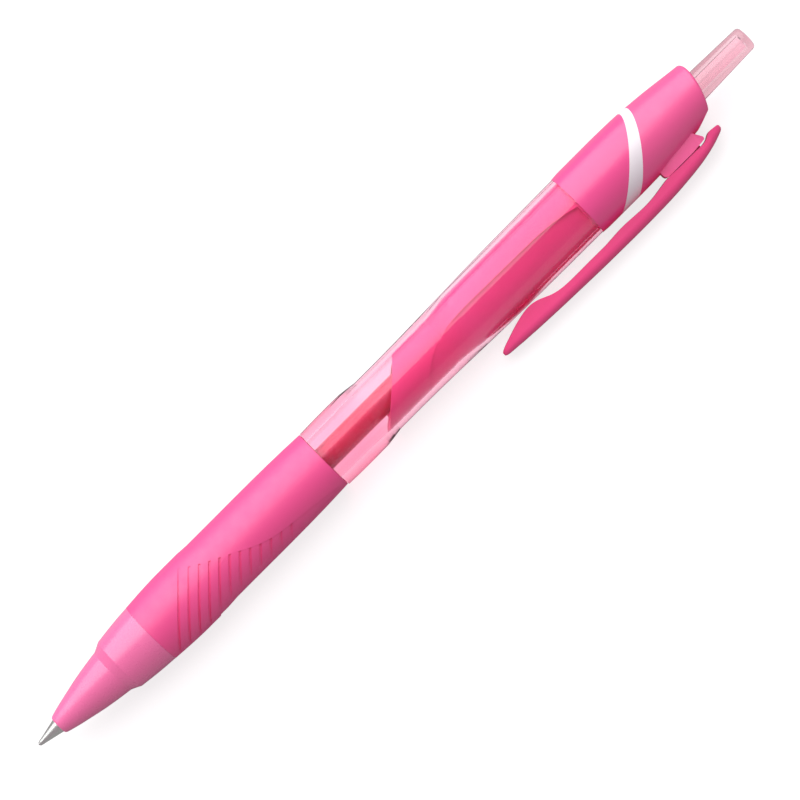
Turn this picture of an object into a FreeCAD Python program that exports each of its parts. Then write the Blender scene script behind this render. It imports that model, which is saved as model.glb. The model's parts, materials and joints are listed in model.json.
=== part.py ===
import FreeCAD, Part
import math
import os

# Retractable ball pen. All lengths are in millimetres.
# Working frame: X runs from the writing tip (0) to the button's end, the pocket clip lies towards -Y,
# and Z completes the frame. The last step lays the pen down on its body and its clip.

LENGTH = 140.0          # tip to button, writing position
R_MAX = 5.25            # grip and rear collar, the two widest places
AXIS = FreeCAD.Vector(1, 0, 0)
ORIGIN = FreeCAD.Vector(0, 0, 0)

CONE_FRONT = 3.9        # front rim of the nose cone
CONE_END = 22.2         # where the cone meets the grip
SPIGOT_END = 30.0       # end of the cone's threaded spigot
SPIGOT_R = 3.3
THREAD_PITCH = 1.2
THREAD_DEPTH = 0.25
RUN = 0.05              # running clearance on a radius
TIP_R = 1.15            # steel point's cylinder
HOLDER_R = 1.35         # front of the tip holder
SPRING_SEAT = 11.0
SPRING_BORE = 2.3
GRIP_FRONT = 22.22
GRIP_END = 56.4
GRIP_BORE = 4.1
GROOVE_PITCH = 2.0
GROOVE_FIRST = 28.0     # axial place of the first groove on the near side
GROOVE_COUNT = 12
GROOVE_WIDTH = 0.5      # along the axis
GROOVE_RISE = 0.16      # the groove floor is the grip's outline made this much larger
GROOVE_SINK = 0.4       # and moved this far inwards, so each groove fades out at both ends
GROOVE_TURN = 20.0      # its direction, from square-on towards the clip, degrees
RECESS_SINK = 0.13      # the ribbed field's skin moved away from the clip
BARREL_END = 106.5
BARREL_BORE = 3.5
LINER_R = 3.72
LINER_WIDE = 4.25
LINER_END = 122.0
LINER_RAMP = 80.0       # where the liner starts to widen
LINER_FULL = 84.0       # and where it is at its full size
FACET_R = 6.0           # shallow curve of the leaf-shaped facets on the liner
FACET_FLOOR = 3.5       # their nearest distance to the axis
FACET_TURN = 28.0       # from square-on towards the clip, degrees
GUIDE_R = 3.0
GUIDE_BORE = 2.72
LAND_R = 2.25           # inner radius of the guide lands
LAND_FRONT = 104.0
GUIDE_FRONT = 97.0
GUIDE_END = 127.5
BUTTON_R = 2.15
BUTTON_BORE = 1.0
TUBE_R = 1.85
INK_R = 1.4
BALL_R = 0.25           # writing ball
NEEDLE_R = 0.1          # wire of the spring behind it
NEEDLE_COIL = 0.3
PIVOT_S = 123.6         # clip pivot
PIVOT_T = 5.15
PIVOT_R = 0.45
CLIP_GAP_T = 6.28       # underside of the clip over its saddle
FOOT_HALF = 1.2         # half width of the clip's foot
CLIP_ROUND = 1.25       # rounding of the clip's outer edges

# Slanting cuts: axial place = base + lean * y + turn * z
LINER_CUT = (69.45, 1.15, 0.10)
RING_FRONT = (114.66, 0.92, 0.34)
RING_REAR = (117.0, 0.73, 0.33)
CAP_END = (129.4, 0.28, 0.22)
CAP_CUT = (136.6, 2.4, 0.22)


def vec(s, y, z=0.0):
    return FreeCAD.Vector(s, y, z)


def edges_of(runs, place):
    """Edges along runs of points: two points make a line, more make a smooth curve."""
    edges = []
    last = None
    for run in runs:
        points = [place(*p) for p in run]
        if last is not None and last.distanceToPoint(points[0]) > 1e-6:
            edges.append(Part.makeLine(last, points[0]))
        if len(points) == 2:
            edges.append(Part.makeLine(points[0], points[1]))
        elif len(points) > 2:
            curve = Part.BSplineCurve()
            curve.interpolate(points)
            edges.append(curve.toShape())
        last = points[-1]
    first = place(*runs[0][0])
    if last.distanceToPoint(first) > 1e-6:
        edges.append(Part.makeLine(last, first))
    return edges


def face_of(runs, place):
    return Part.Face(Part.Wire(edges_of(runs, place)))


def turned(*runs):
    """Solid of revolution about the pen's axis from an outline of (s, radius) points."""
    face = face_of(runs, lambda s, r: vec(s, r))
    return face.revolve(ORIGIN, AXIS, 360)


def tube(start, end, outer, inner):
    return turned([(start, inner), (start, outer)], [(end, outer), (end, inner)])


def rod(start, end, radius):
    return Part.makeCylinder(radius, end - start, vec(start, 0), AXIS)


def side_plate(half, *runs):
    """Plate cut from a side outline of (s, t) points, t being the distance towards the clip."""
    face = face_of(runs, lambda s, t: vec(s, -t, -half))
    return face.extrude(vec(0, 0, 2 * half))


def plan_plate(low_t, high_t, *runs):
    """Plate cut from a plan outline of (s, z) points, between two distances from the axis."""
    face = face_of(runs, lambda s, z: vec(s, -high_t, z))
    return face.extrude(vec(0, high_t - low_t, 0))


def box(s0, s1, t0, t1, half):
    return Part.makeBox(s1 - s0, t1 - t0, 2 * half, vec(s0, -t1, -half))


def behind(cut):
    """Large block that fills everything behind a slanting cut."""
    base, lean, turn = cut
    size = 60.0
    corners = []
    for y, z in ((-size, -size), (size, -size), (size, size), (-size, size)):
        corners.append(vec(base + lean * y + turn * z, y, z))
    face = Part.Face(Part.makePolygon(corners + [corners[0]]))
    return face.extrude(vec(3 * size, 0, 0))


def sector(start, end, radius, middle, half):
    """Wedge about the axis, from one angle to another (degrees)."""
    steps = [middle - half, middle, middle + half]
    corners = [vec(start, 0, 0)]
    for angle in steps:
        a = math.radians(angle)
        corners.append(vec(start, radius * math.cos(a), radius * math.sin(a)))
    corners.append(corners[0])
    return Part.Face(Part.makePolygon(corners)).extrude(vec(end - start, 0, 0))


def coil(points, wire_r, sides=0):
    """Wire swept along a smooth curve through points: round, or many-sided where it is hair-thin."""
    curve = Part.BSplineCurve()
    curve.interpolate(points)
    edge = curve.toShape()
    start = curve.value(curve.FirstParameter)
    heading = curve.tangent(curve.FirstParameter)[0]
    ring = Part.Wire(Part.makeCircle(wire_r, start, heading))
    if sides:
        corners = ring.discretize(sides + 1)
        ring = Part.makePolygon(corners[:-1] + [corners[0]])
    return Part.Wire([edge]).makePipeShell([ring], True, True)


def nose_cone():
    crests = []
    s = CONE_END + THREAD_PITCH
    while s + THREAD_PITCH < SPIGOT_END:
        root = SPIGOT_R - THREAD_DEPTH
        crests.append([(s, SPIGOT_R), (s + 0.3, root)])
        crests.append([(s + 0.5, root), (s + 0.8, SPIGOT_R)])
        s += THREAD_PITCH
    return turned(
        [(CONE_FRONT, TIP_R + 0.07), (CONE_FRONT, 1.4)],
        [(CONE_FRONT, 1.4), (4.15, 1.55)],
        [(4.15, 1.55), (6.0, 2.05), (8.0, 2.5), (10.0, 2.93), (12.0, 3.28), (14.6, 3.65)],
        [(14.6, 3.65), (15.2, 3.92), (16.0, 4.33)],
        [(16.0, 4.33), (18.0, 4.58), (20.0, 4.78), (CONE_END, 4.93)],
        [(CONE_END, 4.93), (CONE_END, SPIGOT_R)],
        *crests,
        [(SPIGOT_END - 0.3, SPIGOT_R), (SPIGOT_END, SPIGOT_R - 0.3)],
        [(SPIGOT_END, SPRING_BORE), (SPRING_SEAT, SPRING_BORE)],
        [(SPRING_SEAT, HOLDER_R + 0.1), (6.2, HOLDER_R + 0.1)],
        [(6.2, TIP_R + 0.07), (CONE_FRONT, TIP_R + 0.07)],
    )


def grip_profile(drop, bore):
    return turned(
        [(GRIP_FRONT, bore), (GRIP_FRONT, 4.95 - drop)],
        [(GRIP_FRONT, 4.95 - drop), (23.5, 5.04 - drop), (25.5, 5.16 - drop), (28.0, R_MAX - drop)],
        [(28.0, R_MAX - drop), (32.4, R_MAX - drop)],
        [(32.4, R_MAX - drop), (33.2, 5.2 - drop), (34.2, 5.13 - drop)],
        [(34.2, 5.13 - drop), (42.0, 5.13 - drop), (49.0, 5.1 - drop), (GRIP_END, 4.88 - drop)],
        [(GRIP_END, 4.88 - drop), (GRIP_END, bore)],
    )


def grip_fields():
    """Block that covers the ribbed field: everything on the clip's side of the wavy border."""
    return side_plate(
        8.0,
        [(21.0, 8.0), (21.0, -8.0)],
        [(28.2, -8.0), (28.2, -6.2)],
        [
            (28.2, -6.2), (29.4, -5.2), (31.6, -3.5), (34.0, -2.0), (38.2, 0.1),
            (42.0, 2.0), (48.0, 3.2), (GRIP_END, 4.4),
        ],
        [(GRIP_END, 4.4), (58.0, 4.4)],
        [(58.0, 8.0), (21.0, 8.0)],
    )


def slanting_slab(place, width):
    """Slab between two parallel planes that lean 45 degrees, width along the axis."""
    front = behind((place - width / 2, 1.0, 0.0))
    rear = behind((place + width / 2, 1.0, 0.0))
    return front.cut(rear)


def groove_floor(side):
    """Floor of the grooves on one side of the grip."""
    turn = math.radians(GROOVE_TURN)
    floor = grip_profile(-GROOVE_RISE, 0.0)
    floor.translate(vec(0, GROOVE_SINK * math.sin(turn), -side * GROOVE_SINK * math.cos(turn)))
    return floor


def grip_sleeve():
    field = grip_fields()
    skin = rod(GRIP_FRONT, GRIP_END, R_MAX + 1)
    lowered = grip_profile(0.0, 0.0)
    lowered.translate(vec(0, RECESS_SINK, 0))
    recess = skin.cut(lowered).common(field)
    recess = recess.common(behind((GROOVE_FIRST + 4 * GROOVE_PITCH, 1.0, 0.0)))
    slabs = []
    for i in range(GROOVE_COUNT):
        slabs.append(slanting_slab(GROOVE_FIRST + i * GROOVE_PITCH, GROOVE_WIDTH))
    slabs = Part.makeCompound(slabs).common(field)
    body = grip_profile(0.0, GRIP_BORE).cut(recess)
    for side in (1, -1):
        body = body.cut(skin.cut(groove_floor(side)).common(slabs))
    return body


def barrel():
    bore = [
        [(BARREL_END, LINER_WIDE + RUN), (LINER_FULL, LINER_WIDE + RUN)],
        [(LINER_FULL, LINER_WIDE + RUN), (LINER_RAMP, LINER_R + RUN)],
        [(LINER_RAMP, LINER_R + RUN), (65.8, LINER_R + RUN)],
        [(65.8, LINER_R + RUN), (61.5, BARREL_BORE)],
        [(61.5, BARREL_BORE), (SPIGOT_END + 0.6, BARREL_BORE)],
        [(SPIGOT_END + 0.3, SPIGOT_R + RUN), (GRIP_FRONT, SPIGOT_R + RUN)],
    ]
    return turned(
        [(GRIP_FRONT, GRIP_BORE), (GRIP_END + 0.1, GRIP_BORE)],
        [(GRIP_END + 0.1, 4.9), (60.0, 4.97), (64.2, 4.94)],
        [(64.2, 4.94), (65.5, 4.78), (67.0, 4.56)],
        [(67.0, 4.56), (72.0, 4.56), (80.0, 4.7), (88.0, 4.92), (96.0, 5.03), (BARREL_END, 5.1)],
        *bore,
    )


def leaf_field():
    """Block inside the leaf-shaped border of the liner's facets."""
    return side_plate(
        6.0,
        [(73.0, 6.0), (73.6, 3.4)],
        [
            (73.6, 3.4), (75.4, 1.9), (78.0, 0.2), (81.0, -0.75), (88.0, -1.1), (96.0, -1.0),
            (102.0, -0.7), (BARREL_END - 0.3, 0.1),
        ],
        [(BARREL_END - 0.3, 0.1), (BARREL_END - 0.3, 6.0)],
    )


def leaf_facet(side):
    """Shallow curved facet on one side of the liner."""
    turn = math.radians(FACET_TURN)
    back = FACET_R - FACET_FLOOR
    centre = vec(70.0, back * math.sin(turn), -side * back * math.cos(turn))
    floor = Part.makeCylinder(FACET_R, 40.0, centre, AXIS)
    skin = rod(72.0, BARREL_END, LINER_WIDE + 0.5).cut(floor)
    return skin.common(leaf_field())


def liner_sleeve():
    body = turned(
        [(62.0, 2.85), (62.0, LINER_R)],
        [(62.0, LINER_R), (LINER_RAMP + RUN, LINER_R)],
        [(LINER_RAMP + RUN, LINER_R), (LINER_FULL + RUN, LINER_WIDE)],
        [(LINER_FULL + RUN, LINER_WIDE), (LINER_END, LINER_WIDE)],
        [(LINER_END, GUIDE_R), (GUIDE_FRONT - 0.5, GUIDE_R)],
        [(GUIDE_FRONT - 0.5, 2.85), (62.0, 2.85)],
    )
    body = body.common(behind(LINER_CUT))
    return body.cut([leaf_facet(1), leaf_facet(-1)])


def rear_blank(inner):
    return turned(
        [(BARREL_END + 0.02, inner), (BARREL_END + 0.02, 5.15)],
        [(BARREL_END + 0.02, 5.15), (107.2, 5.22), (108.2, R_MAX)],
        [(108.2, R_MAX), (114.0, R_MAX)],
        [
            (114.0, R_MAX), (117.0, 5.2), (119.5, 5.1), (121.5, 4.95), (124.0, 4.72),
            (126.5, 4.42), (131.8, 3.8),
        ],
        [(131.8, 3.8), (131.8, inner)],
    )


def rear_collar():
    return rear_blank(LINER_WIDE).cut(behind(RING_FRONT))


def accent_ring():
    blank = rear_blank(LINER_WIDE).common(behind(RING_FRONT))
    return blank.cut(behind(RING_REAR))


def saddle():
    """Raised seat on the cap that the clip's foot drops into."""
    profile = side_plate(
        3.0,
        [(117.9, 3.6), (117.9, 5.55)],
        [(117.9, 5.55), (118.05, 6.0), (118.4, 6.18)],
        [(118.4, 6.18), (123.2, 6.18)],
        [(123.2, 6.18), (125.3, 5.98)],
        [(125.3, 5.98), (125.62, 5.85), (125.66, 5.5)],
        [(125.66, 5.5), (125.3, 4.9), (124.6, 3.6)],
    )
    plan = plan_plate(
        3.0, 7.0,
        [(117.0, 1.45), (117.9, 1.6), (119.0, 1.85), (120.3, 2.1)],
        [(120.3, 2.1), (125.0, 2.1)],
        [(125.0, 2.1), (126.0, 1.7)],
        [(126.0, -1.7), (125.0, -2.1)],
        [(125.0, -2.1), (120.3, -2.1)],
        [(120.3, -2.1), (119.0, -1.85), (117.9, -1.6), (117.0, -1.45)],
    )
    return profile.common(plan)


def rear_cap():
    body = rear_blank(0.0).common(behind(RING_REAR)).cut(behind(CAP_END)).cut(behind(CAP_CUT))
    rim = [e for e in body.Edges if e.BoundBox.XMax > 129.0 and e.BoundBox.XMin > 127.0]
    body = body.makeFillet(0.35, rim)
    body = body.fuse(saddle())
    body = body.cut(rod(100.0, LINER_END, LINER_WIDE))
    body = body.cut(rod(LINER_END - 0.1, GUIDE_END + 0.1, GUIDE_R))
    body = body.cut(rod(GUIDE_END, 135.0, LAND_R))
    body = body.cut(box(118.35, 125.0, 4.7, 8.0, FOOT_HALF + RUN))
    pin_hole = Part.makeCylinder(
        PIVOT_R + RUN, 3.4, vec(PIVOT_S, -PIVOT_T, -1.7), vec(0, 0, 1)
    )
    return body.cut(pin_hole).removeSplitter()


def clip_section(s, low, high, half):
    """D-shaped section of the clip: flat towards the barrel, rounded outside."""
    bend = min(CLIP_ROUND, half * 0.6, (high - low) * 0.6)
    slope = bend * (1 - math.sqrt(0.5))
    foot_l = vec(s, -low, half)
    shoulder_l = vec(s, -(high - bend), half)
    middle_l = vec(s, -(high - slope), half - slope)
    crest_l = vec(s, -high, half - bend)
    crest_r = vec(s, -high, bend - half)
    middle_r = vec(s, -(high - slope), slope - half)
    shoulder_r = vec(s, -(high - bend), -half)
    foot_r = vec(s, -low, -half)
    return Part.Wire([
        Part.makeLine(foot_l, shoulder_l),
        Part.Arc(shoulder_l, middle_l, crest_l).toShape(),
        Part.makeLine(crest_l, crest_r),
        Part.Arc(crest_r, middle_r, shoulder_r).toShape(),
        Part.makeLine(shoulder_r, foot_r),
        Part.makeLine(foot_r, foot_l),
    ])


# Clip stations: axial place, inner level, outer level, half width
CLIP_STATIONS = [
    (84.62, 7.22, 7.66, 0.55),
    (84.95, 6.98, 7.85, 0.95),
    (86.0, 6.55, 7.98, 1.35),
    (87.6, 6.02, 8.12, 1.65),
    (89.6, 5.45, 8.25, 1.76),
    (91.7, 5.13, 8.36, 1.82),
    (93.6, 5.5, 8.44, 1.85),
    (95.4, 6.25, 8.51, 1.88),
    (97.4, 6.62, 8.57, 1.9),
    (101.0, 6.68, 8.68, 1.94),
    (106.0, 6.68, 8.77, 1.98),
    (112.0, 6.68, 8.8, 2.02),
    (115.2, 6.62, 8.75, 2.05),
    (117.4, CLIP_GAP_T, 8.67, 2.08),
    (120.0, CLIP_GAP_T, 8.48, 2.06),
    (123.0, CLIP_GAP_T, 8.14, 1.98),
    (125.3, CLIP_GAP_T, 7.68, 1.86),
    (126.3, 5.85, 7.42, 1.74),
    (127.6, 5.72, 6.98, 1.4),
    (128.2, 5.8, 6.72, 1.05),
    (128.45, 6.0, 6.45, 0.7),
]


def clip():
    sections = [clip_section(*station) for station in CLIP_STATIONS]
    tongue = Part.makeLoft(sections, True, False)
    foot = box(118.6, 124.5, 4.85, CLIP_GAP_T + 0.5, FOOT_HALF)
    pins = Part.makeCylinder(PIVOT_R, 3.3, vec(PIVOT_S, -PIVOT_T, -1.65), vec(0, 0, 1))
    return tongue.fuse([foot, pins])


def cam_guide():
    body = tube(GUIDE_FRONT, GUIDE_END, GUIDE_R, GUIDE_BORE)
    lands = tube(LAND_FRONT, GUIDE_END, GUIDE_BORE + 0.1, LAND_R)
    for i in range(4):
        lands = lands.cut(sector(LAND_FRONT - 1, GUIDE_END + 1, 6.0, 90.0 * i, 20.0))
    return body.fuse(lands).removeSplitter()


def crown(blank, peak, turn, back):
    """Cuts eight V notches across the end of a blank, with its peaks at one place."""
    side = 60.0
    depth = 0.8
    for i in range(4):
        tip = vec(peak + back * depth, 0, 0)
        left = vec(peak - back * 2.0, 0, 2.0 + depth)
        right = vec(peak - back * 2.0, 0, -2.0 - depth)
        wedge = Part.Face(Part.makePolygon([tip, left, right, tip]))
        wedge = wedge.extrude(vec(0, side, 0))
        wedge.translate(vec(0, -side / 2, 0))
        wedge.rotate(ORIGIN, AXIS, turn + 45.0 * i)
        blank = blank.cut(wedge)
    return blank


def fins(start, end, inner, half):
    ring = tube(start, end, GUIDE_BORE - 0.08, inner)
    keep = []
    for i in range(4):
        keep.append(ring.common(sector(start - 1, end + 1, 6.0, 90.0 * i, half)))
    return keep


def rotor():
    body = tube(98.0, 106.4, 2.1, 0.5)
    body = crown(body, 106.4, 22.5, -1)
    nose = tube(95.0, 98.1, INK_R - RUN, 0.5)
    return body.fuse([nose] + fins(101.4, 103.92, 1.9, 16.0)).removeSplitter()


def cam_plunger():
    body = tube(105.75, 112.3, 2.1, 0.5)
    body = crown(body, 105.75, 0.0, 1)
    spigot = tube(112.2, 116.0, BUTTON_BORE, 0.5)
    return body.fuse([spigot] + fins(107.6, 111.6, 1.9, 16.0)).removeSplitter()


def push_button():
    return turned(
        [(112.3, BUTTON_BORE), (112.3, BUTTON_R)],
        [(112.3, BUTTON_R), (130.4, BUTTON_R)],
        [(130.4, BUTTON_R), (139.4, 1.88)],
        [(139.4, 1.88), (139.78, 1.77), (139.96, 1.58), (LENGTH, 1.35)],
        [(LENGTH, 1.35), (LENGTH, 0.0)],
        [(139.1, 0.0), (139.1, 0.85)],
        [(139.1, 0.85), (138.9, BUTTON_BORE)],
        [(138.9, BUTTON_BORE), (112.3, BUTTON_BORE)],
    )


def refill_tube():
    return tube(23.0, 98.0, TUBE_R, INK_R)


def ink_column():
    return turned(
        [(17.05, 0.0), (17.05, 0.4)],
        [(28.0, 0.4), (28.0, INK_R)],
        [(88.0, INK_R), (87.6, 0.7), (87.5, 0.0)],
    )


def ink_follower():
    return turned(
        [(87.5, 0.0), (87.6, 0.7), (88.0, INK_R)],
        [(88.0, INK_R), (92.0, INK_R)],
        [(92.0, INK_R), (91.6, 0.7), (91.5, 0.0)],
    )


def tip_holder():
    body = turned(
        [(7.5, 0.8), (7.5, 1.25)],
        [(7.5, 1.25), (7.7, HOLDER_R)],
        [(7.7, HOLDER_R), (21.9, HOLDER_R)],
        [(22.0, 2.1), (23.0, 2.1)],
        [(23.0, INK_R), (28.0, INK_R)],
        [(28.0, 0.4), (17.0, 0.4)],
        [(17.0, 0.4), (16.6, 0.85)],
        [(16.6, 0.85), (13.4, 0.85)],
        [(13.0, 0.25), (11.0, 0.25)],
        [(11.0, 0.8), (7.5, 0.8)],
    )
    slot = Part.makeBox(0.7, 1.3, 0.3, vec(12.7, -0.65, -0.15))
    return body.cut(slot)


def tip_cone():
    return turned(
        [(0.14, 0.245), (0.14, 0.29)],
        [(0.14, 0.29), (0.4, 0.37), (0.9, 0.47)],
        [(0.9, 0.47), (3.9, TIP_R)],
        [(3.9, TIP_R), (7.48, TIP_R)],
        [(7.48, 0.8), (10.98, 0.8)],
        [(10.98, 0.42), (1.6, 0.42)],
        [(1.2, 0.13), (0.53, 0.13)],
        [(0.53, 0.13), (0.42, BALL_R + 0.025)],
        [(0.42, BALL_R + 0.025), (BALL_R, BALL_R + 0.025)],
        [(BALL_R, BALL_R + 0.025), (0.14, 0.245)],
    )


def writing_ball():
    return Part.makeSphere(BALL_R, vec(BALL_R, 0))


def check_ball():
    return Part.makeSphere(0.6, vec(14.1, 0))


def coil_points(start, end, radius, turns, closed, closed_pitch):
    """Points round a compression spring whose first and last coils lie close together."""
    per_turn = 16
    open_turns = turns - 2 * closed
    open_pitch = (end - start - 2 * closed * closed_pitch) / open_turns
    points = []
    for i in range(int(turns * per_turn) + 1):
        u = i / per_turn
        s = start + closed_pitch * min(u, closed)
        s += open_pitch * min(max(u - closed, 0.0), open_turns)
        s += closed_pitch * max(u - closed - open_turns, 0.0)
        a = 2 * math.pi * u
        points.append(vec(s, radius * math.cos(a), radius * math.sin(a)))
    return points


def return_spring():
    wire = 0.17
    start = SPRING_SEAT + wire + 0.02
    end = 22.0 - wire - 0.02
    return coil(coil_points(start, end, 1.85, 9, 1.25, 2 * wire + 0.05), wire)


def ball_spring():
    needle = [vec(0.56, 0, 0), vec(0.85, 0, 0), vec(1.15, 0, 0)]
    lead = []
    for i in range(1, 5):
        a = math.pi * i / 4
        r = NEEDLE_COIL * (i / 5) ** 2
        lead.append(vec(1.15 + 0.1 * i, r * math.cos(a), r * math.sin(a)))
    body = []
    for p in coil_points(1.8, 10.84, NEEDLE_COIL, 12, 1.0, 0.24):
        body.append(vec(p.x, -p.y, -p.z))
    return coil(needle + lead + body, NEEDLE_R, 10)


NODES = {
    "nose_cone": nose_cone,
    "grip_sleeve": grip_sleeve,
    "barrel": barrel,
    "liner_sleeve": liner_sleeve,
    "rear_collar": rear_collar,
    "accent_ring": accent_ring,
    "rear_cap": rear_cap,
    "clip": clip,
    "cam_guide": cam_guide,
    "rotor": rotor,
    "cam_plunger": cam_plunger,
    "push_button": push_button,
    "refill_tube": refill_tube,
    "ink_column": ink_column,
    "ink_follower": ink_follower,
    "tip_holder": tip_holder,
    "tip_cone": tip_cone,
    "writing_ball": writing_ball,
    "ball_spring": ball_spring,
    "check_ball": check_ball,
    "return_spring": return_spring,
}


def lowest(shape, roll):
    turned_shape = shape.copy()
    turned_shape.rotate(ORIGIN, AXIS, roll)
    return turned_shape.optimalBoundingBox(False, False).ZMin


def resting_roll(clip_shape):
    """Angle that brings the clip's edge down to the level the body rests on."""
    low = 10.0
    high = 45.0
    for _ in range(24):
        middle = (low + high) / 2
        if lowest(clip_shape, middle) > -R_MAX:
            low = middle
        else:
            high = middle
    return (low + high) / 2


def main():
    os.makedirs("parts", exist_ok=True)
    shapes = {}
    for name, make in NODES.items():
        shapes[name] = make()
    roll = resting_roll(shapes["clip"])
    for shape in shapes.values():
        shape.rotate(ORIGIN, AXIS, roll)
    near = shapes["clip"].optimalBoundingBox(False, False).YMin
    shift = vec(-LENGTH / 2, -(near + R_MAX) / 2, R_MAX)
    for name, shape in shapes.items():
        shape.translate(shift)
        solids = shape.Solids
        if len(solids) == 1:
            shape = solids[0]
        print(name, len(solids), shape.isValid(), round(shape.Volume, 3))
        shape.exportStep("parts/" + name + ".step")
    print("roll", round(roll, 4), "shift", round(shift.x, 4), round(shift.y, 4), round(shift.z, 4))


main()
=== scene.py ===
import bpy
import json
import math
from mathutils import Matrix, Vector

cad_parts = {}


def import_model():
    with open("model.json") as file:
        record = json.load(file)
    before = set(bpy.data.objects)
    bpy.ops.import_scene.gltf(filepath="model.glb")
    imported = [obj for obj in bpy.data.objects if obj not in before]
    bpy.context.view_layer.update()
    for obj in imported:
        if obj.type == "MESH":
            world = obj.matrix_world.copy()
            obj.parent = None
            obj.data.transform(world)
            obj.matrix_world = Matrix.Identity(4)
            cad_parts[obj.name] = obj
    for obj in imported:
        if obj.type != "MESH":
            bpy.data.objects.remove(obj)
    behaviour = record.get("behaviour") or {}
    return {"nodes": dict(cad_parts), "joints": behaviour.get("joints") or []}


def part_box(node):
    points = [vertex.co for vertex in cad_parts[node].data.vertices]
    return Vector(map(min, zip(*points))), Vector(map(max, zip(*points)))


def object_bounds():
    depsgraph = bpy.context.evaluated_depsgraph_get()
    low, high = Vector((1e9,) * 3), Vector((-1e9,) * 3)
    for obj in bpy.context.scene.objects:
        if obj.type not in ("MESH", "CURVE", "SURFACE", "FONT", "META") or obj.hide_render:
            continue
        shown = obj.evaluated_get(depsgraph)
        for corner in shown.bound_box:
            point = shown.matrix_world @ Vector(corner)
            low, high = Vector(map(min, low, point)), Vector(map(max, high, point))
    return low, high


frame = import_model()
cad_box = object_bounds()

MM = 0.001
NODES = frame["nodes"]
JOINTS = {j["name"]: j for j in frame["joints"]}

# The pen's own directions: along it, square to its clip's side (where the camera is), and
# towards the clip. MIDDLE is on its axis, halfway along.
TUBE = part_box("refill_tube")
CENTRE = (Vector(cad_box[0]) + Vector(cad_box[1])) / 2
ALONG = Vector((1, 0, 0))
FACING = Vector(JOINTS["clip_flex"]["axis"]).normalized()
CLIPWARD = ALONG.cross(FACING)
MIDDLE = Vector((CENTRE.x, (TUBE[0][1] + TUBE[1][1]) / 2, (TUBE[0][2] + TUBE[1][2]) / 2))

# Noise scales, in features per metre, and how much finer each pattern is along X, Y and Z.
DRIFT_SCALE = 180           # colour drift of moulded plastic, drawn out along the flow
DRIFT_STRETCH = (0.3, 1, 1)
GLOSS_SCALE = 700           # its uneven gloss
GRAIN_SCALE = 2600          # its surface grain
RUBBER_GRAIN_SCALE = 3200
CLEAR_DRIFT_SCALE = 120     # colour drift of clear plastic
CLEAR_DRIFT_STRETCH = (0.2, 1, 1)
CLEAR_GLOSS_SCALE = 400
RIPPLE_SCALE = 300          # faint flow lines on clear plastic
RIPPLE_STRETCH = (0.15, 1, 1)
METAL_SCALE = 1500          # fine lines on turned or drawn metal
METAL_STRETCH = (1, 40, 40)
NOISE_LOW = 0.3             # the part of a noise's values that a ramp spreads
NOISE_HIGH = 0.7

# Full heights of the bumps.
GRAIN_HEIGHT = 0.02 * MM
RIPPLE_HEIGHT = 0.05 * MM
METAL_HEIGHT = 0.01 * MM

MOULDED_SWING = 0.15        # how far the roughness drifts, as a share of its mean
CLEAR_SWING = 0.3
METAL_SWING = 0.3
CLEAR_TINTS = (0.97, 1.02)  # darkest and lightest, as shares of the colour
METAL_TINTS = (0.85, 1.1)
SHADOW_TINT = 0.98          # share of a clear part's colour that its shadow keeps
METAL_BUMP = 0.1

COAT_ROUGHNESS = 0.22
PLASTIC_IOR = 1.46
TUBE_IOR = 1.49
GREASE_IOR = 1.4

FLOOR_HALF = 3.0            # half of the floor's side, in metres
FLOOR_GREY = 0.3
FLOOR_ROUGHNESS = 0.9
FLOOR_GLOW = 0.78           # strength of the floor's own light, seen straight or through the pen
FLOOR_MIRRORED = 0.1        # share of that glow that reflections see
WORLD_COLOUR = (1.0, 0.84, 0.92, 1.0)
WORLD_STRENGTH = 0.46
KEY_TOWARDS = FACING * 0.6 - CLIPWARD * 0.8 + ALONG * 0.05
KEY_DISTANCE = 0.9
KEY_SIZE = 1.6
KEY_POWER = 13.0

LENS = 200.0                # focal length and sensor width, in mm of the camera
SENSOR = 36.0
VIEW_WIDTH = 111.9 * MM     # width of what the camera sees at the pen
PEN_SLOPE = math.radians(45.04)
AIM_RIGHT = 1.02 * MM       # from MIDDLE to the centre of the picture
AIM_DOWN = 1.29 * MM
NEAR = 0.01
FAR = 20.0


# ---------------------------------------------------------------- materials

def new_material(name):
    material = bpy.data.materials.new(name)
    material.use_nodes = True
    tree = material.node_tree
    return material, tree, tree.nodes["Principled BSDF"]


def add(tree, kind, **values):
    """A node with its settings: properties by attribute, sockets by name."""
    node = tree.nodes.new(kind)
    for key, value in values.items():
        if hasattr(node, key):
            setattr(node, key, value)
        else:
            node.inputs[key].default_value = value
    return node


def noise(tree, scale, detail=2.0, stretch=(1, 1, 1)):
    """Noise in the object's own space."""
    place = add(tree, "ShaderNodeTexCoord")
    mapping = add(tree, "ShaderNodeMapping", Scale=stretch)
    texture = add(tree, "ShaderNodeTexNoise", Scale=scale, Detail=detail)
    tree.links.new(place.outputs["Object"], mapping.inputs["Vector"])
    tree.links.new(mapping.outputs["Vector"], texture.inputs["Vector"])
    return texture.outputs["Fac"]


def ramp(tree, source, low, high):
    """The middle of a noise's values, spread over the colours from low to high."""
    node = add(tree, "ShaderNodeValToRGB")
    node.color_ramp.elements[0].position = NOISE_LOW
    node.color_ramp.elements[1].position = NOISE_HIGH
    node.color_ramp.elements[0].color = low
    node.color_ramp.elements[1].color = high
    tree.links.new(source, node.inputs["Fac"])
    return node.outputs["Color"]


def linear(rgb):
    """Display colour (0 to 255) to the linear colour that a shader takes."""
    out = []
    for value in rgb:
        share = value / 255
        out.append(share / 12.92 if share <= 0.04045 else ((share + 0.055) / 1.055) ** 2.4)
    return (*out, 1.0)


def shade(colour, factor):
    return (*[min(1.0, c * factor) for c in colour[:3]], 1.0)


def grey(value):
    return (value, value, value, 1)


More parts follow.
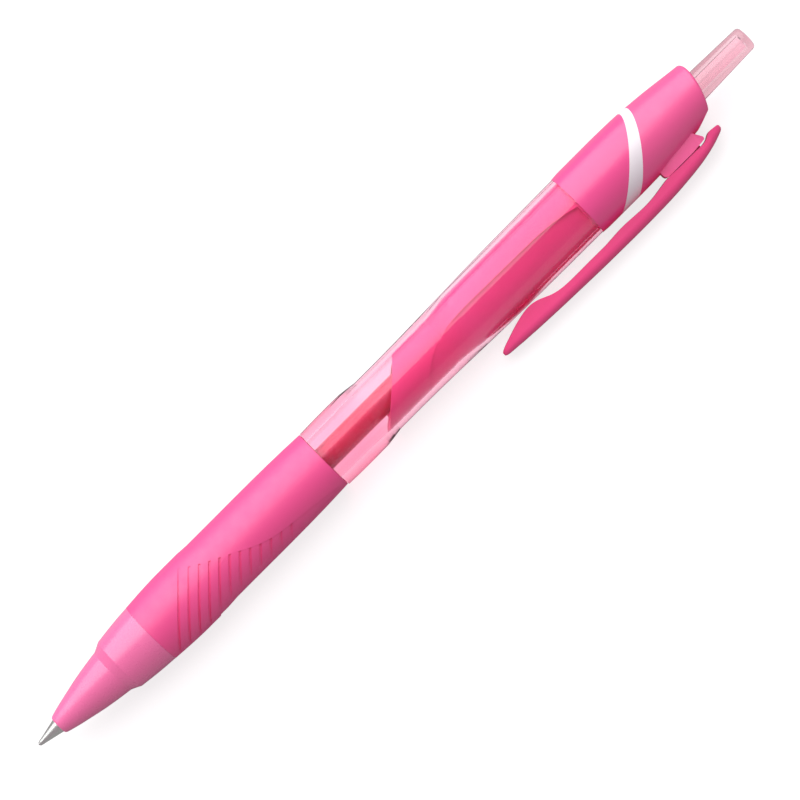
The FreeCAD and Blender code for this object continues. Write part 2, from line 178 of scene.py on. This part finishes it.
def bump(tree, surface, pattern, strength, height):
    node = add(tree, "ShaderNodeBump", Strength=strength, Distance=height)
    tree.links.new(pattern, node.inputs["Height"])
    tree.links.new(node.outputs["Normal"], surface.inputs["Normal"])


def uneven_gloss(tree, surface, pattern, roughness, swing):
    """Roughness that drifts over the surface, by a share of its mean to each side."""
    low = grey(roughness * (1 - swing))
    high = grey(roughness * (1 + swing))
    tree.links.new(ramp(tree, pattern, low, high), surface.inputs["Roughness"])


def moulded(name, rgb, roughness, grain=0.1, grain_scale=GRAIN_SCALE, coat=0.0, spread=0.05, gloss=0.5):
    """Injection-moulded plastic: faint colour drift along the flow, fine grain, uneven gloss."""
    material, tree, surface = new_material(name)
    colour = linear(rgb)
    drift = noise(tree, DRIFT_SCALE, detail=3.0, stretch=DRIFT_STRETCH)
    mixed = ramp(tree, drift, shade(colour, 1 - spread), shade(colour, 1 + spread))
    tree.links.new(mixed, surface.inputs["Base Color"])
    uneven_gloss(tree, surface, noise(tree, GLOSS_SCALE, detail=4.0), roughness, MOULDED_SWING)
    bump(tree, surface, noise(tree, grain_scale), grain, GRAIN_HEIGHT)
    surface.inputs["Specular IOR Level"].default_value = gloss
    surface.inputs["Coat Weight"].default_value = coat
    surface.inputs["Coat Roughness"].default_value = COAT_ROUGHNESS
    return material


def clear(name, rgb, roughness, ior=PLASTIC_IOR, soak=None, density=0.0, ripple=0.03):
    """Clear moulded plastic that lets lamps through and soaks up some colour on the way."""
    material, tree, surface = new_material(name)
    colour = linear(rgb)
    drift = noise(tree, CLEAR_DRIFT_SCALE, stretch=CLEAR_DRIFT_STRETCH)
    tint = ramp(tree, drift, *[shade(colour, share) for share in CLEAR_TINTS])
    tree.links.new(tint, surface.inputs["Base Color"])
    surface.inputs["Transmission Weight"].default_value = 1.0
    surface.inputs["IOR"].default_value = ior
    uneven_gloss(tree, surface, noise(tree, CLEAR_GLOSS_SCALE, detail=4.0), roughness, CLEAR_SWING)
    flow = noise(tree, RIPPLE_SCALE, detail=1.0, stretch=RIPPLE_STRETCH)
    bump(tree, surface, flow, ripple, RIPPLE_HEIGHT)
    path = add(tree, "ShaderNodeLightPath")
    through = add(tree, "ShaderNodeBsdfTransparent", Color=shade(colour, SHADOW_TINT))
    mix = add(tree, "ShaderNodeMixShader")
    output = tree.nodes["Material Output"]
    tree.links.new(path.outputs["Is Shadow Ray"], mix.inputs["Fac"])
    tree.links.new(surface.outputs["BSDF"], mix.inputs[1])
    tree.links.new(through.outputs["BSDF"], mix.inputs[2])
    tree.links.new(mix.outputs["Shader"], output.inputs["Surface"])
    if soak:
        volume = add(tree, "ShaderNodeVolumeAbsorption", Color=linear(soak), Density=density)
        tree.links.new(volume.outputs["Volume"], output.inputs["Volume"])
    return material


def metal(name, rgb, roughness):
    """Turned or drawn metal with fine lines."""
    material, tree, surface = new_material(name)
    colour = linear(rgb)
    lines = noise(tree, METAL_SCALE, stretch=METAL_STRETCH)
    mixed = ramp(tree, lines, *[shade(colour, share) for share in METAL_TINTS])
    tree.links.new(mixed, surface.inputs["Base Color"])
    surface.inputs["Metallic"].default_value = 1.0
    uneven_gloss(tree, surface, lines, roughness, METAL_SWING)
    bump(tree, surface, lines, METAL_BUMP, METAL_HEIGHT)
    return material


def rubber(name, rgb):
    """Soft-touch rubber: a fine powdery grain and no sharp gloss."""
    material = moulded(
        name, rgb, 0.46, grain=0.25, grain_scale=RUBBER_GRAIN_SCALE, spread=0.03, gloss=1.0
    )
    surface = material.node_tree.nodes["Principled BSDF"]
    surface.inputs["Sheen Weight"].default_value = 0.08
    surface.inputs["Sheen Roughness"].default_value = 0.4
    surface.inputs["Sheen Tint"].default_value = linear((255, 170, 210))
    return material


# Each node's material: its name, display colour and roughness, then what differs from the usual.
MATERIALS = {
    "nose_cone": moulded("cone_pink", (253, 117, 175), 0.28, grain=0.02, coat=0.25, gloss=0.9),
    "grip_sleeve": rubber("grip_pink", (251, 76, 150)),
    "barrel": clear("barrel_clear", (255, 232, 242), 0.07, soak=(255, 130, 185), density=230.0),
    "liner_sleeve": moulded("liner_pink", (252, 84, 158), 0.4, grain=0.03),
    "rear_collar": moulded("collar_pink", (252, 78, 152), 0.34, grain=0.03, coat=0.3, gloss=0.8),
    "accent_ring": moulded("ring_white", (250, 247, 250), 0.35, grain=0.03, spread=0.01),
    "rear_cap": moulded("cap_pink", (251, 90, 156), 0.42, grain=0.15, coat=0.2, gloss=0.9),
    "clip": moulded("clip_pink", (244, 72, 138), 0.35, grain=0.05, coat=0.3),
    "cam_guide": moulded("guide_white", (238, 236, 232), 0.4),
    "rotor": moulded("rotor_white", (226, 224, 220), 0.4),
    "cam_plunger": moulded("plunger_white", (232, 226, 226), 0.4),
    "push_button": clear(
        "button_smoky", (255, 230, 237), 0.04, soak=(185, 70, 110), density=230.0, ripple=0.0
    ),
    "refill_tube": clear("refill_clear", (255, 226, 240), 0.2, TUBE_IOR),
    "ink_column": moulded("ink_red", (250, 36, 118), 0.3, grain=0.0, coat=0.2),
    "ink_follower": clear("follower_grease", (246, 236, 210), 0.2, GREASE_IOR),
    "tip_holder": moulded("holder_natural", (236, 228, 226), 0.4),
    "tip_cone": metal("point_steel", (208, 214, 209), 0.28),
    "writing_ball": metal("ball_metal", (180, 180, 182), 0.1),
    "ball_spring": metal("hair_spring", (190, 190, 190), 0.25),
    "check_ball": metal("valve_metal", (190, 190, 190), 0.12),
    "return_spring": metal("spring_steel", (196, 198, 200), 0.22),
}

for node, material in MATERIALS.items():
    piece = NODES[node]
    if not piece.material_slots:
        piece.data.materials.append(None)
    for slot in piece.material_slots:
        slot.link = "OBJECT"
        slot.material = material
    for polygon in piece.data.polygons:
        polygon.use_smooth = True


# ---------------------------------------------------------------- stage

def link(name, data):
    """A new object with this data, in the scene."""
    thing = bpy.data.objects.new(name, data)
    bpy.context.scene.collection.objects.link(thing)
    return thing


def floor_material():
    """White floor that glows for the camera and through clear parts, and faintly in reflections."""
    material, tree, surface = new_material("floor_white")
    surface.inputs["Base Color"].default_value = grey(FLOOR_GREY)
    surface.inputs["Roughness"].default_value = FLOOR_ROUGHNESS
    path = add(tree, "ShaderNodeLightPath")
    seen = add(tree, "ShaderNodeMath", operation="MAXIMUM")
    tree.links.new(path.outputs["Is Camera Ray"], seen.inputs[0])
    tree.links.new(path.outputs["Is Transmission Ray"], seen.inputs[1])
    mirrored = add(tree, "ShaderNodeMath", operation="MULTIPLY_ADD")
    mirrored.inputs[1].default_value = FLOOR_MIRRORED
    tree.links.new(path.outputs["Is Glossy Ray"], mirrored.inputs[0])
    tree.links.new(seen.outputs["Value"], mirrored.inputs[2])
    glow = add(tree, "ShaderNodeMath", operation="MULTIPLY")
    glow.inputs[1].default_value = FLOOR_GLOW
    tree.links.new(mirrored.outputs["Value"], glow.inputs[0])
    surface.inputs["Emission Color"].default_value = grey(1)
    tree.links.new(glow.outputs["Value"], surface.inputs["Emission Strength"])
    return material


def floor():
    half = FLOOR_HALF
    mesh = bpy.data.meshes.new("floor")
    corners = [(-half, -half, 0), (half, -half, 0), (half, half, 0), (-half, half, 0)]
    mesh.from_pydata(corners, [], [(0, 1, 2, 3)])
    plane = link("floor", mesh)
    mesh.materials.append(floor_material())


def area_light(name, towards, distance, size, power):
    """A round lamp at this distance from the pen's middle, facing it."""
    lamp = bpy.data.lights.new(name, "AREA")
    lamp.shape = "DISK"
    lamp.size = size
    lamp.energy = power
    holder = link(name, lamp)
    towards = towards.normalized()
    holder.location = MIDDLE + towards * distance
    holder.rotation_mode = "QUATERNION"
    holder.rotation_quaternion = towards.to_track_quat("Z", "Y")


def world(colour, strength):
    scene_world = bpy.data.worlds.new("studio")
    bpy.context.scene.world = scene_world
    scene_world.use_nodes = True
    background = scene_world.node_tree.nodes["Background"]
    background.inputs["Color"].default_value = colour
    background.inputs["Strength"].default_value = strength


def camera():
    """A long lens, square to the pen and to its clip, with the pen running up to the right."""
    right = ALONG * math.cos(PEN_SLOPE) + CLIPWARD * math.sin(PEN_SLOPE)
    up = ALONG * math.sin(PEN_SLOPE) - CLIPWARD * math.cos(PEN_SLOPE)
    data = bpy.data.cameras.new("camera")
    data.lens = LENS
    data.sensor_width = SENSOR
    data.clip_start = NEAR
    data.clip_end = FAR
    holder = link("camera", data)
    eye = MIDDLE + right * AIM_RIGHT - up * AIM_DOWN + FACING * (VIEW_WIDTH / SENSOR * LENS)
    holder.matrix_world = Matrix(
        (
            (right.x, up.x, FACING.x, eye.x),
            (right.y, up.y, FACING.y, eye.y),
            (right.z, up.z, FACING.z, eye.z),
            (0, 0, 0, 1),
        )
    )
    bpy.context.scene.camera = holder


floor()
world(WORLD_COLOUR, WORLD_STRENGTH)
area_light("key", KEY_TOWARDS, KEY_DISTANCE, KEY_SIZE, KEY_POWER)
camera()
bpy.context.scene.view_settings.view_transform = "Standard"
